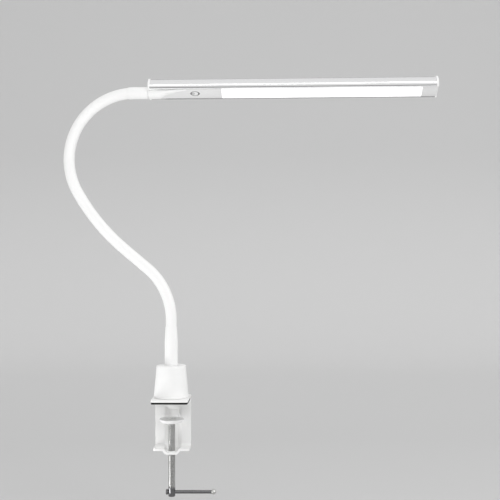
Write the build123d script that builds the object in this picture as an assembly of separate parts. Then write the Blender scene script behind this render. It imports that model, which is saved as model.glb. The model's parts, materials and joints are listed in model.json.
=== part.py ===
from build123d import *
import math
import os

# Clamp-on gooseneck LED desk lamp, in millimetres.
# Frame: X to the right, Y away from the user, Z up. The origin is the centre of the rubber
# pad's underside, the face that rests on the table top. Every piece is its own STEP file.

# Clamp: one bent steel strip with a pressed channel, a rubber pad under its top plate
plate_width = 50.0
plate_depth = 58.0
sheet_thickness = 3.0
plate_corner_radius = 3.0
bend_inner_radius = 2.5
pad_thickness = 2.6
pad_margin = 1.2
pad_corner_radius = 2.5
mouth_height = 65.3
jaw_front_y = -2.0
channel_depth = 5.0
channel_width = 24.6
channel_top_drop = 12.0
channel_slope = 7.0
channel_edge_radius = 2.2
collar_radius = 7.4
collar_height = 3.0

# Clamp screw, M10 x 1.5, with its pressure disc and tommy bar
screw_y = 7.0
screw_radius = 5.0
screw_pitch = 1.5
screw_boss_radius = 4.75
screw_boss_length = 12.6
screw_tail_length = 102.3
screw_chamfer = 0.6
table_thickness = 25.4
disc_top_radius = 17.0
disc_bottom_radius = 14.0
disc_thickness = 5.0
disc_edge = 1.6
disc_recess_radius = 6.5
disc_recess_depth = 2.2
journal_radius = 3.0
rivet_radius = 4.8
rivet_height = 1.4
bar_radius = 2.4
bar_length = 69.5
bar_head_radius = 3.8
bar_head_length = 3.1
bar_knob_radius = 3.7
bar_knob_length = 6.0
bar_drop = 6.0

# Base cup, with what holds the neck and lets the supply lead in
cup_bottom_radius = 24.0
cup_top_radius = 20.0
cup_height = 43.9
cup_wall = 2.4
cup_bottom_round = 3.0
cup_top_round = 1.0
boss_offset = 17.4
boss_radius = 4.6
boss_height = 15.0
cup_screw_radius = 2.0
cup_screw_head_radius = 3.9
cup_screw_head_height = 2.0
cup_screw_length = 14.0
nut_across_flats = 14.0
nut_height = 5.0
washer_radius = 10.0
washer_thickness = 1.5
inlet_height = 9.0
inlet_bore_radius = 2.6
grommet_body_radius = 4.4
grommet_flange_radius = 6.0
grommet_flange = 1.5

# Neck: its centre line is runs and bends in one upright plane, from the cup to the head
neck_yaw = 2.5
riser_run = 62.0
low_bend_radius = 92.5
low_bend_angle = 50.0
back_run = 42.0
slow_bend_radius = 282.0
slow_bend_angle = 21.0
crown_radius = 91.0
head_run = 19.6
sleeve_radius = 7.5
sleeve_wall = 1.2
core_radius = 6.0
core_bore_radius = 3.2
lead_radius = 2.6
ball_radius = 7.0
ball_gap = 0.3
first_joint = 66.0
last_joint_back = 34.0
joint_count = 12
boot_radius = 9.0
boot_tip_radius = 7.9
boot_straight = 34.0
boot_taper = 19.0
ferrule_radius = 8.1
ferrule_length = 27.5
stud_radius = 5.0
stud_length = 16.0
spigot_length = 11.0
clip_radius = 6.6
clip_thickness = 1.0
clip_groove_radius = 4.2
clip_end_margin = 0.75
clip_slot_width = 4.2
lead_bottom_inset = 3.0

# Head: a round aluminium extrusion cut flat underneath, with white ends
head_length = 394.0
head_twist = 31.5
profile_radius = 13.8
profile_flat = 21.4
profile_wall = 1.6
opening_width = 18.4
cover_lip = 1.9
cover_flange = 1.0
web_height = 11.2
web_thickness = 1.4
end_cap_thickness = 2.5
end_cap_proud = 1.0
end_cap_plug = 4.0
adaptor_end = 14.0
adaptor_drop = 2.6
fairing_length = 39.0
fairing_edge_inset = 1.0
fairing_shares = ((0.0, 0.0, 1.0), (0.26, 0.42, 0.57), (0.56, 0.72, 0.37), (1.0, 1.0, 0.13))
touch_cover_end = 101.0
end_panel_length = 18.6
foot_length = 34.0
foot_width = 12.0
foot_thickness = 2.2
foot_screw_radius = 1.45
foot_screw_head_radius = 2.7
foot_screw_head_height = 1.7
foot_screw_places = (19.0, 29.0)
led_board_width = 10.0
board_thickness = 1.2
led_pitch = 9.0
led_length = 3.5
led_width = 2.8
led_height = 0.8
touch_board_length = 34.0
touch_board_width = 14.0
touch_board_start = 40.0
driver_board_length = 70.0
driver_board_width = 16.0
driver_board_start = 38.0
driver_part_sizes = ((12.0, 9.0, 5.0), (8.0, 8.0, 3.5), (10.0, 6.0, 4.0))
driver_part_spacing = 3.0

# Clearances, and how far a cut runs past the face it opens
running_fit = 0.05
part_gap = 0.3
cover_gap = 0.15
cut_over = 1.0

# Worked out from the sizes above
plate_bottom = pad_thickness
plate_top = plate_bottom + sheet_thickness
cup_top = plate_top + cup_height
back_outer_y = plate_depth / 2
back_inner_y = back_outer_y - sheet_thickness
jaw_top = -mouth_height
jaw_bottom = jaw_top - sheet_thickness
channel_floor = jaw_top - channel_depth
channel_bottom = jaw_bottom - channel_depth
disc_top = -table_thickness
disc_bottom = disc_top - disc_thickness
bar_height = disc_bottom - screw_tail_length + bar_drop
crown_angle = 90.0 + low_bend_angle - slow_bend_angle
profile_inner_radius = profile_radius - profile_wall
profile_centre = math.sqrt(profile_radius**2 - (profile_flat / 2) ** 2)
end_panel_end = head_length - end_cap_thickness - cover_gap
end_panel_start = end_panel_end - end_panel_length
diffuser_start = touch_cover_end + cover_gap
diffuser_end = end_panel_start - cover_gap


def neck_spans():
    """Length and curvature of each run and bend; a left turn is positive."""
    low_bend = low_bend_radius * math.radians(low_bend_angle)
    slow_bend = slow_bend_radius * math.radians(slow_bend_angle)
    crown = crown_radius * math.radians(crown_angle)
    return [
        (riser_run, 0.0),
        (low_bend, 1 / low_bend_radius),
        (back_run, 0.0),
        (slow_bend, -1 / slow_bend_radius),
        (crown, -1 / crown_radius),
        (head_run, 0.0),
    ]


def neck_length():
    return sum(length for length, curvature in neck_spans())


def step_along(x, z, heading, curvature, distance):
    """Point and heading after a distance along one run or bend."""
    if curvature == 0.0:
        return x + distance * math.cos(heading), z + distance * math.sin(heading), heading
    turned = heading + curvature * distance
    new_x = x + (math.sin(turned) - math.sin(heading)) / curvature
    new_z = z - (math.cos(turned) - math.cos(heading)) / curvature
    return new_x, new_z, turned


def neck_state(distance):
    """Point (x, z) and heading in radians of the neck's centre line at a distance."""
    x, z, heading = 0.0, cup_top, math.pi / 2
    spans = neck_spans()
    for index, (length, curvature) in enumerate(spans):
        if distance <= length or index == len(spans) - 1:
            return step_along(x, z, heading, curvature, distance)
        x, z, heading = step_along(x, z, heading, curvature, length)
        distance -= length


def neck_point(distance):
    x, z, heading = neck_state(distance)
    return Vector(x, 0, z)


def neck_tangent(distance):
    x, z, heading = neck_state(distance)
    return Vector(math.cos(heading), 0, math.sin(heading))


def neck_wire(start, end):
    """The centre line between two distances, as straight runs and tangent arcs."""
    edges = []
    span_start = 0.0
    spans = neck_spans()
    for index, (length, curvature) in enumerate(spans):
        span_end = span_start + length
        low = max(start, span_start)
        high = end if index == len(spans) - 1 else min(end, span_end)
        if index == 0:
            low = start
        span_start = span_end
        if high - low < 0.001:
            continue
        if curvature == 0.0:
            edges.append(Line(neck_point(low), neck_point(high)))
        else:
            middle = neck_point((low + high) / 2)
            edges.append(ThreePointArc(neck_point(low), middle, neck_point(high)))
    return Wire([line.edge() for line in edges])


def neck_plane(distance):
    return Plane(origin=neck_point(distance), x_dir=(0, 1, 0), z_dir=neck_tangent(distance))


def neck_tube(start, end, outer, inner=0.0):
    """A round bar or tube along the neck's centre line."""
    section = neck_plane(start) * Circle(outer)
    if inner > 0:
        section -= neck_plane(start) * Circle(inner)
    return sweep(section, path=neck_wire(start, end))


def neck_ball(distance, radius):
    return Pos(neck_point(distance)) * Sphere(radius)


def joint_distances():
    """Where the core's sections meet, evenly spaced over the bending length."""
    last_joint = neck_length() - last_joint_back
    pitch = (last_joint - first_joint) / (joint_count - 1)
    return [first_joint + pitch * index for index in range(joint_count)]


def upper(shape):
    """Turns what the neck carries into the neck's own upright plane."""
    return Rot(0, 0, -neck_yaw) * shape


def along_neck_axis(start, end, radius):
    """A cylinder on the neck's end line, between two distances past the neck's end."""
    x, z, heading = neck_state(neck_length())
    face = Plane(origin=(x + start, 0, z), x_dir=(0, 1, 0), z_dir=(1, 0, 0)) * Circle(radius)
    return extrude(face, amount=end - start)


def head_frame():
    """The head's own frame: X along it from its left end, Z up from its flat underside."""
    x, z, heading = neck_state(neck_length())
    return Pos(x + part_gap, 0, z) * Rot(-head_twist, 0, 0) * Pos(0, 0, -adaptor_drop)


def placed_head(shape):
    return upper(head_frame() * shape)


def bracket_side():
    """Side view of the bent strip: top plate, back plate and short lower jaw."""
    outer = make_face(Polyline(
        (-plate_depth / 2, plate_top), (back_outer_y, plate_top), (back_outer_y, jaw_bottom),
        (jaw_front_y, jaw_bottom), (jaw_front_y, jaw_top), (jaw_front_y, plate_bottom),
        (-plate_depth / 2, plate_bottom), close=True))
    outer = fillet(outer.vertices().group_by(Axis.X)[-1], bend_inner_radius + sheet_thickness)
    mouth_length = back_inner_y + plate_depth
    mouth = Pos(back_inner_y - mouth_length / 2, (plate_bottom + jaw_top) / 2) * Rectangle(
        mouth_length, plate_bottom - jaw_top)
    mouth = fillet(mouth.vertices().group_by(Axis.X)[-1], bend_inner_radius)
    return outer - mouth


def side_prism(face, width):
    """Extrudes a side view, drawn in Y and Z, to both sides of the middle plane."""
    return extrude(Plane.YZ * face, amount=width / 2, both=True)


def channel_side(grow, start, front):
    """Side view of the pressed channel, down the back plate and under the jaw."""
    back = back_inner_y + channel_depth + grow
    top = plate_bottom - channel_top_drop
    floor = channel_floor - grow
    outline = make_face(Polyline(
        (back_inner_y + start, top), (back_inner_y + grow, top), (back, top - channel_slope),
        (back, floor), (front, floor), (front, jaw_top - start),
        (back_inner_y + start, jaw_top - start), close=True))
    corner = outline.vertices().sort_by_distance((back, floor))[0]
    return fillet(corner, bend_inner_radius + channel_depth + grow)


def channel_shape(grow, start, front, width):
    """The pressed channel as a solid: grown by the sheet outside, bare inside."""
    body = side_prism(channel_side(grow, start, front), width)
    ridges = [edge for edge in body.edges() if is_channel_ridge(edge.center(), grow, front, width)]
    return fillet(ridges, channel_edge_radius + grow / 2)


def is_channel_ridge(point, grow, front, width):
    """Whether an edge's centre lies on the channel's long outer edges."""
    on_side = abs(abs(point.X) - width / 2) < running_fit
    behind_front = point.Y > front + running_fit
    down_the_back = point.Y > back_inner_y + grow + part_gap
    under_the_jaw = point.Z < channel_floor - grow + running_fit
    return on_side and behind_front and (down_the_back or under_the_jaw)


def make_clamp_bracket():
    body = side_prism(bracket_side(), plate_width)
    corners = body.edges().filter_by(Axis.Z).filter_by(
        lambda edge: edge.center().Y < jaw_front_y + running_fit)
    body = fillet(corners, plate_corner_radius)
    body += channel_shape(sheet_thickness, sheet_thickness / 2, jaw_front_y, channel_width)
    body -= channel_shape(0.0, -sheet_thickness / 2, jaw_front_y - cut_over,
                          channel_width - 2 * sheet_thickness)
    collar = Pos(0, screw_y, channel_floor) * Cylinder(
        collar_radius, collar_height, align=(Align.CENTER, Align.CENTER, Align.MIN))
    body += collar
    hole_length = sheet_thickness + collar_height + 2 * cut_over
    body -= Pos(0, screw_y, channel_bottom - cut_over) * Cylinder(
        screw_radius + running_fit, hole_length, align=(Align.CENTER, Align.CENTER, Align.MIN))
    for place in cup_screw_places():
        body -= place * countersunk_screw(running_fit)
    return body


def cup_screw_places():
    return [Pos(side * boss_offset, 0, plate_bottom) for side in (-1, 1)]


def countersunk_screw(grow):
    """Countersunk screw with its head face down at z = 0, made larger by a clearance."""
    head = Cone(cup_screw_head_radius + grow, cup_screw_radius + grow, cup_screw_head_height,
                align=(Align.CENTER, Align.CENTER, Align.MIN))
    shank = Cylinder(cup_screw_radius + grow, cup_screw_length + grow,
                     align=(Align.CENTER, Align.CENTER, Align.MIN))
    return head + shank


def make_jaw_pad():
    """Rubber pad glued under the top plate."""
    size_x = plate_width - 2 * pad_margin
    size_y = plate_depth - sheet_thickness - bend_inner_radius - 2 * pad_margin
    outline = RectangleRounded(size_x, size_y, pad_corner_radius)
    centre_y = -plate_depth / 2 + pad_margin + size_y / 2
    return extrude(Pos(0, centre_y, 0) * outline, amount=pad_thickness)


def make_cup_screws():
    screws = [place * countersunk_screw(0.0) for place in cup_screw_places()]
    return Compound(children=screws)


def cup_profile(bottom, top, low, high, round_bottom, round_top):
    """Half section of a cup in X and Z, turned about Z."""
    outline = make_face(Polyline((0, low), (bottom, low), (top, high), (0, high), close=True))
    outer_low = outline.vertices().sort_by_distance((bottom, low))[0]
    outline = fillet(outer_low, round_bottom)
    outer_high = outline.vertices().sort_by_distance((top, high))[0]
    outline = fillet(outer_high, round_top)
    return revolve(Plane.XZ * outline, axis=Axis.Z)


def make_base_cup():
    """White cup, open below, with two screw bosses and the lead's hole at the back."""
    outer = cup_profile(cup_bottom_radius, cup_top_radius, plate_top, cup_top,
                        cup_bottom_round, cup_top_round)
    inner = cup_profile(cup_bottom_radius - cup_wall, cup_top_radius - cup_wall,
                        plate_top - cut_over, cup_top - cup_wall, cup_top_round, cup_top_round)
    for place in cup_screw_places():
        inner -= Pos(0, 0, sheet_thickness) * place * boss_column()
    body = outer - inner
    for place in cup_screw_places():
        body -= place * countersunk_screw(running_fit)
    body -= Pos(0, 0, cup_top) * Cylinder(stud_radius + running_fit, 3 * cup_wall)
    hole = Cylinder(grommet_body_radius + running_fit, cup_bottom_radius,
                    align=(Align.CENTER, Align.CENTER, Align.MIN))
    return body - inlet_place() * hole


def boss_column():
    return Cylinder(boss_radius, boss_height, align=(Align.CENTER, Align.CENTER, Align.MIN))


def inlet_place():
    """On the cup's axis at the lead's height, with Z pointing out of the back."""
    return Pos(0, 0, plate_top + inlet_height) * Rot(-90, 0, 0)


def cup_radius_at(height, wall):
    slope = (cup_top_radius - cup_bottom_radius) / cup_height
    return cup_bottom_radius - wall + slope * height


def make_cord_grommet():
    """Round grommet in the cup's back wall: groove body between two flanges."""
    outer_face = cup_radius_at(inlet_height - grommet_flange_radius, 0) + cover_gap
    chord = cup_radius_at(inlet_height + grommet_flange_radius, cup_wall)
    inner_face = math.sqrt(chord**2 - grommet_flange_radius**2) - cover_gap
    profile = make_face(Polyline(
        (inlet_bore_radius, inner_face - grommet_flange),
        (grommet_flange_radius - grommet_flange / 2, inner_face - grommet_flange),
        (grommet_flange_radius - grommet_flange / 2, inner_face),
        (grommet_body_radius, inner_face), (grommet_body_radius, outer_face),
        (grommet_flange_radius, outer_face),
        (grommet_flange_radius - grommet_flange / 2, outer_face + grommet_flange),
        (inlet_bore_radius, outer_face + grommet_flange), close=True))
    return inlet_place() * revolve(Plane.XZ * profile, axis=Axis.Z)


def make_neck_washer():
    ring = Circle(washer_radius) - Circle(stud_radius + running_fit)
    return Pos(0, 0, cup_top - cup_wall - washer_thickness) * extrude(ring, washer_thickness)


def make_neck_nut():
    hexagon = RegularPolygon(nut_across_flats / 2, 6, major_radius=False)
    ring = hexagon - Circle(stud_radius + running_fit)
    low = cup_top - cup_wall - washer_thickness - nut_height
    return Pos(0, 0, low) * extrude(ring, nut_height)


def domed_tail(distance):
    """The rounded end that a core section turns on, past its hinge point."""
    tail = neck_tube(distance, distance + ball_radius + cut_over, core_radius, core_bore_radius)
    return tail & neck_ball(distance, ball_radius)


def core_section(start, end):
    """One section of the interlocked core: hollow seat at its start, dome at its end."""
    body = neck_tube(start, end, core_radius, core_bore_radius)
    body += domed_tail(end)
    return upper(body - neck_ball(start, ball_radius + ball_gap))


def make_core_foot():
    """Lowest section, with the threaded stud that the nut holds in the cup."""
    first = joint_distances()[0]
    body = neck_tube(0, first, core_radius, core_bore_radius) + domed_tail(first)
    stud = Pos(0, 0, cup_top - stud_length) * Cylinder(
        stud_radius, stud_length, align=(Align.CENTER, Align.CENTER, Align.MIN))
    bore = Pos(0, 0, cup_top - stud_length - cut_over) * Cylinder(
        core_bore_radius, stud_length + 2 * cut_over,
        align=(Align.CENTER, Align.CENTER, Align.MIN))
    return upper(body + (stud - bore))


def make_core_sections():
    joints = joint_distances()
    return [core_section(start, end) for start, end in zip(joints, joints[1:])]


def make_core_tip():
    """Last section, with the hollow spigot that the head turns on."""
    start = joint_distances()[-1]
    end = neck_length()
    body = neck_tube(start, end, core_radius, core_bore_radius)
    body -= neck_ball(start, ball_radius + ball_gap)
    spigot = along_neck_axis(0, part_gap + spigot_length, stud_radius)
    spigot -= along_neck_axis(-cut_over, part_gap + spigot_length + cut_over, core_bore_radius)
    groove = along_neck_axis(*clip_span(running_fit), stud_radius + cut_over)
    groove -= along_neck_axis(*clip_span(running_fit), clip_groove_radius)
    return upper(body + spigot - groove)


def clip_span(grow):
    """Where the retaining clip sits, as distances past the neck's end."""
    start = part_gap + adaptor_wall_end() + cover_gap
    return start - grow, start + clip_thickness + grow


def adaptor_wall_end():
    """How deep the adaptor's bore is before the pocket that the clip turns in."""
    return spigot_length - clip_thickness - clip_end_margin


def make_spigot_clip():
    """Open retaining ring in the spigot's groove, behind the adaptor's wall."""
    low, high = clip_span(0.0)
    ring = along_neck_axis(low, high, clip_radius)
    ring -= along_neck_axis(low, high, clip_groove_radius + running_fit)
    x, z, heading = neck_state(neck_length())
    slot = Pos(x + (low + high) / 2, 0, z + clip_radius) * Box(
        2 * clip_thickness, clip_slot_width, 2 * clip_radius)
    return upper(ring - slot)


def make_neck_sleeve():
    """White sleeve over the whole core, from the cup to the head."""
    end = neck_length() - cover_gap
    return upper(neck_tube(cover_gap, end, sleeve_radius, sleeve_radius - sleeve_wall))


def make_neck_boot():
    """Moulded boot over the neck's foot, tapered at its upper end."""
    bore = sleeve_radius + running_fit
    low = cup_top
    shoulder = low + boot_straight
    tip = shoulder + boot_taper
    profile = make_face(Polyline(
        (bore, low), (boot_radius, low), (boot_radius, shoulder), (boot_tip_radius, tip),
        (bore, tip), close=True))
    return upper(revolve(Plane.XZ * profile, axis=Axis.Z))


def make_neck_ferrule():
    end = neck_length()
    return upper(neck_tube(end - ferrule_length, end, ferrule_radius,
                           sleeve_radius + running_fit))


def make_neck_lead():
    """Low-voltage lead inside the core, from the cup to the head."""
    low = lead_bottom_inset - stud_length
    return upper(neck_tube(low, neck_length() + spigot_length, lead_radius))


def make_pressure_disc():
    """Dished disc under the table, free to turn on the screw's journal."""
    bore = journal_radius + running_fit
    profile = make_face(Polyline(
        (bore, disc_bottom), (disc_bottom_radius, disc_bottom),
        (disc_top_radius, disc_top - disc_edge), (disc_top_radius, disc_top),
        (disc_recess_radius, disc_top), (disc_recess_radius, disc_top - disc_recess_depth),
        (bore, disc_top - disc_recess_depth), close=True))
    rim = profile.vertices().sort_by_distance((disc_top_radius, disc_top))[0]
    profile = fillet(rim, disc_edge / 3)
    return Pos(0, screw_y, 0) * revolve(Plane.XZ * profile, axis=Axis.Z)


def screw_end():
    return disc_bottom - screw_tail_length


def make_clamp_screw():
    """Screw with a riveted journal at its top and a plain boss for the bar below."""
    seat = disc_bottom - part_gap / 3
    shelf = disc_top - disc_recess_depth + part_gap / 3
    boss_top = screw_end() + screw_boss_length
    profile = make_face(Polyline(
        (0, screw_end()), (screw_boss_radius - screw_chamfer, screw_end()),
        (screw_boss_radius, screw_end() + screw_chamfer), (screw_boss_radius, boss_top),
        (screw_radius, boss_top), (screw_radius, seat), (journal_radius, seat),
        (journal_radius, shelf), (rivet_radius, shelf),
        (rivet_radius - rivet_height / 2, shelf + rivet_height), (0, shelf + rivet_height),
        close=True))
    body = revolve(Plane.XZ * profile, axis=Axis.Z)
    cross_hole = Pos(0, 0, bar_height) * Rot(0, 90, 0) * Cylinder(
        bar_radius + running_fit, 4 * screw_boss_radius)
    return Pos(0, screw_y, 0) * (body - cross_hole)


def bar_left():
    """Left end of the bar, slid to the right until its head meets the boss."""
    return -screw_boss_radius - part_gap - bar_head_length


def along_bar(place, shape):
    """Turns a shape made along Z to lie along the bar, from a place in X."""
    return Pos(place, screw_y, bar_height) * Rot(0, 90, 0) * shape


def make_tommy_bar():
    """Bar through the screw's boss, with a button head formed on its left end."""
    head = Cylinder(bar_head_radius, bar_head_length,
                    align=(Align.CENTER, Align.CENTER, Align.MIN))
    head = fillet(head.edges().filter_by(GeomType.CIRCLE), bar_head_length / 3)
    rod = Cylinder(bar_radius, bar_length - bar_knob_length,
                   align=(Align.CENTER, Align.CENTER, Align.MIN))
    core = Cylinder(bar_radius, bar_head_length / 2,
                    align=(Align.CENTER, Align.CENTER, Align.MIN))
    return along_bar(bar_left(), head + (rod - core))


def make_bar_cap():
    """Ball knob pressed on the bar's right end once it is through the boss."""
    ball = Pos(0, 0, bar_knob_length - bar_knob_radius) * Sphere(bar_knob_radius)
    behind = Cylinder(2 * bar_knob_radius, 2 * bar_knob_radius,
                      align=(Align.CENTER, Align.CENTER, Align.MAX))
    return along_bar(bar_left() + bar_length - bar_knob_length, ball - behind)


def half_width_at(height, radius):
    """Half the profile's width at a height above its flat underside."""
    return math.sqrt(radius**2 - (profile_centre - height) ** 2)


def section_along(face, start, end):
    """Extrudes a cross-section, drawn in Y and Z, along the head."""
    return Pos(start, 0, 0) * extrude(Plane.YZ * face, amount=end - start)


def flat_bottomed_circle(radius, floor):
    circle = Pos(0, profile_centre) * Circle(radius)
    below = Pos(0, floor - 2 * radius) * Rectangle(4 * radius, 4 * radius)
    return circle - below


def profile_section():
    """Round shell with a flat, open underside and a web that carries the boards."""
    outer = flat_bottomed_circle(profile_radius, 0)
    inner = flat_bottomed_circle(profile_inner_radius, cover_lip)
    opening = Pos(0, cover_lip / 2) * Rectangle(opening_width, cover_lip)
    web = Pos(0, web_height + web_thickness / 2) * Rectangle(
        2 * profile_inner_radius + profile_wall, web_thickness)
    return outer - inner - opening + (web & outer)


def cover_section():
    """Stepped strip that lies flush in the opening and rests on both lips."""
    flange_half = half_width_at(cover_lip, profile_inner_radius) - cover_gap
    centre = Pos(0, cover_lip / 2) * Rectangle(opening_width - 2 * cover_gap, cover_lip)
    flange = Pos(0, cover_lip + cover_flange / 2) * Rectangle(2 * flange_half, cover_flange)
    return centre + flange


def foot_screw_bores():
    """Clearance holes for the screws that hold the adaptor's foot to the web."""
    bore_length = 2 * (web_thickness + foot_thickness + cut_over)
    bores = [Pos(x, 0, web_height) * Cylinder(foot_screw_radius + running_fit, bore_length)
             for x in foot_screw_places]
    return bores[0] + bores[1]


def make_head_profile():
    body = section_along(profile_section(), end_cap_thickness, head_length - end_cap_thickness)
    return placed_head(body - foot_screw_bores())


def end_cap_plate():
    outline = flat_bottomed_circle(profile_radius + end_cap_proud, -end_cap_proud / 2)
    corners = outline.vertices().group_by(Axis.Y)[0]
    return fillet(corners, 2 * end_cap_proud)


def end_cap_plug_section():
    """Plug that grips inside the profile, above its web."""
    floor = web_height + web_thickness + cover_gap
    outer = flat_bottomed_circle(profile_inner_radius - cover_gap, floor)
    inner = flat_bottomed_circle(profile_inner_radius - cover_gap - profile_wall,
                                 floor + profile_wall)
    return outer - inner


def make_end_cap_right():
    plate = section_along(end_cap_plate(), head_length - end_cap_thickness, head_length)
    plug = section_along(end_cap_plug_section(), head_length - end_cap_thickness - end_cap_plug,
                         head_length - end_cap_thickness)
    return placed_head(plate + plug)


def make_end_cap_left():
    plate = section_along(end_cap_plate(), 0, end_cap_thickness)
    plug = section_along(end_cap_plug_section(), end_cap_thickness,
                         end_cap_thickness + end_cap_plug)
    notch = Pos(0, 0, adaptor_drop) * Rot(0, 90, 0) * Cylinder(
        ferrule_radius + cover_gap, 4 * end_cap_thickness)
    return placed_head(plate + plug - notch)


def fairing_sections():
    """Distance, sideways shift, height and radius of the fairing's round sections."""
    side_reach = opening_width / 2 - fairing_edge_inset
    sections = []
    for along, across, size in fairing_shares:
        sections.append((adaptor_end + along * fairing_length, -across * side_reach,
                         adaptor_drop * size, ferrule_radius * size))
    return sections


def make_fairing():
    """Swept tail of the adaptor, dying out towards the front lip of the underside."""
    faces = [Plane(origin=(x, side, height), x_dir=(0, 1, 0), z_dir=(1, 0, 0)) * Circle(radius)
             for x, side, height, radius in fairing_sections()]
    tail = loft(faces)
    length = 2 * (fairing_length + ferrule_radius)
    above = Pos(adaptor_end, 0, length / 2) * Box(2 * length, length, length)
    return tail - above


def make_neck_adaptor():
    """White moulding that closes the head's left end and holds the neck's spigot."""
    collar = Pos(0, 0, adaptor_drop) * Rot(0, 90, 0) * Cylinder(
        ferrule_radius, adaptor_end, align=(Align.CENTER, Align.CENTER, Align.MIN))
    plug = section_along(cover_section(), end_cap_thickness + cover_gap, adaptor_end)
    foot = Pos(end_cap_thickness + cover_gap, 0, web_height - foot_thickness) * Box(
        foot_length - end_cap_thickness, foot_width, foot_thickness,
        align=(Align.MIN, Align.CENTER, Align.MIN))
    body = collar + plug + foot
    bore = Rot(0, 90, 0) * Cylinder(stud_radius + running_fit, 3 * adaptor_end)
    body -= Pos(0, 0, adaptor_drop) * bore
    pocket = Rot(0, 90, 0) * Cylinder(clip_radius + part_gap, adaptor_end,
                                      align=(Align.CENTER, Align.CENTER, Align.MIN))
    body -= Pos(adaptor_wall_end(), 0, adaptor_drop) * pocket
    return placed_head(body - foot_screw_bores() + make_fairing())


def make_adaptor_screws():
    screws = []
    for x in foot_screw_places:
        head = Pos(x, 0, web_height - foot_thickness - foot_screw_head_height) * Cylinder(
            foot_screw_head_radius, foot_screw_head_height,
            align=(Align.CENTER, Align.CENTER, Align.MIN))
        shank = Pos(x, 0, web_height - foot_thickness) * Cylinder(
            foot_screw_radius, foot_thickness + 2 * web_thickness,
            align=(Align.CENTER, Align.CENTER, Align.MIN))
        screws.append(placed_head(head + shank))
    return Compound(children=screws)


def make_touch_cover():
    return placed_head(section_along(cover_section(), adaptor_end + cover_gap, touch_cover_end))


def make_diffuser():
    return placed_head(section_along(cover_section(), diffuser_start, diffuser_end))


def make_end_panel():
    return placed_head(section_along(cover_section(), end_panel_start, end_panel_end))


def make_led_board():
    body = Pos(diffuser_start, 0, web_height - board_thickness) * Box(
        diffuser_end - diffuser_start, led_board_width, board_thickness,
        align=(Align.MIN, Align.CENTER, Align.MIN))
    return placed_head(body)


def make_led_chips():
    run = diffuser_end - touch_cover_end - 2 * led_pitch
    count = int(run / led_pitch) + 1
    first = (touch_cover_end + diffuser_end - (count - 1) * led_pitch) / 2
    low = web_height - board_thickness - led_height
    chips = []
    for index in range(count):
        chip = Pos(first + index * led_pitch, 0, low) * Box(
            led_length, led_width, led_height, align=(Align.CENTER, Align.CENTER, Align.MIN))
        chips.append(placed_head(chip))
    return Compound(children=chips)


def make_touch_board():
    """Sensor board lying on the inside of the touch cover."""
    body = Pos(touch_board_start, 0, cover_lip + cover_flange) * Box(
        touch_board_length, touch_board_width, board_thickness,
        align=(Align.MIN, Align.CENTER, Align.MIN))
    return placed_head(body)


def make_driver_board():
    """Dimmer board on the upper side of the web, with its parts on it."""
    low = web_height + web_thickness
    board = Pos(driver_board_start, 0, low) * Box(
        driver_board_length, driver_board_width, board_thickness,
        align=(Align.MIN, Align.CENTER, Align.MIN))
    x = driver_board_start + driver_board_length / 3
    for length, width, height in driver_part_sizes:
        board += Pos(x, 0, low + board_thickness) * Box(
            length, width, height, align=(Align.MIN, Align.CENTER, Align.MIN))
        x += length + driver_part_spacing
    return placed_head(board)


def make_all():
    """Every node's name and shape."""
    nodes = {
        "clamp_bracket": make_clamp_bracket(),
        "jaw_pad": make_jaw_pad(),
        "cup_screws": make_cup_screws(),
        "base_cup": make_base_cup(),
        "cord_grommet": make_cord_grommet(),
        "neck_washer": make_neck_washer(),
        "neck_nut": make_neck_nut(),
        "pressure_disc": make_pressure_disc(),
        "clamp_screw": make_clamp_screw(),
        "tommy_bar": make_tommy_bar(),
        "bar_cap": make_bar_cap(),
        "neck_core_foot": make_core_foot(),
        "neck_core_tip": make_core_tip(),
        "spigot_clip": make_spigot_clip(),
        "neck_sleeve": make_neck_sleeve(),
        "neck_lead": make_neck_lead(),
        "neck_boot": make_neck_boot(),
        "neck_ferrule": make_neck_ferrule(),
        "neck_adaptor": make_neck_adaptor(),
        "adaptor_screws": make_adaptor_screws(),
        "head_profile": make_head_profile(),
        "end_cap_left": make_end_cap_left(),
        "end_cap_right": make_end_cap_right(),
        "touch_cover": make_touch_cover(),
        "touch_board": make_touch_board(),
        "diffuser": make_diffuser(),
        "led_board": make_led_board(),
        "led_chips": make_led_chips(),
        "end_panel": make_end_panel(),
        "driver_board": make_driver_board(),
    }
    for index, section in enumerate(make_core_sections(), start=1):
        nodes[f"neck_core_{index:02d}"] = section
    return nodes


def main():
    os.makedirs("parts", exist_ok=True)
    for name, shape in make_all().items():
        export_step(shape, f"parts/{name}.step")


main()
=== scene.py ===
"""Looks of the clamp-on gooseneck LED desk lamp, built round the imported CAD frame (metres)."""
import json
import math

import bmesh
import bpy
from mathutils import Matrix, Vector


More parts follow.
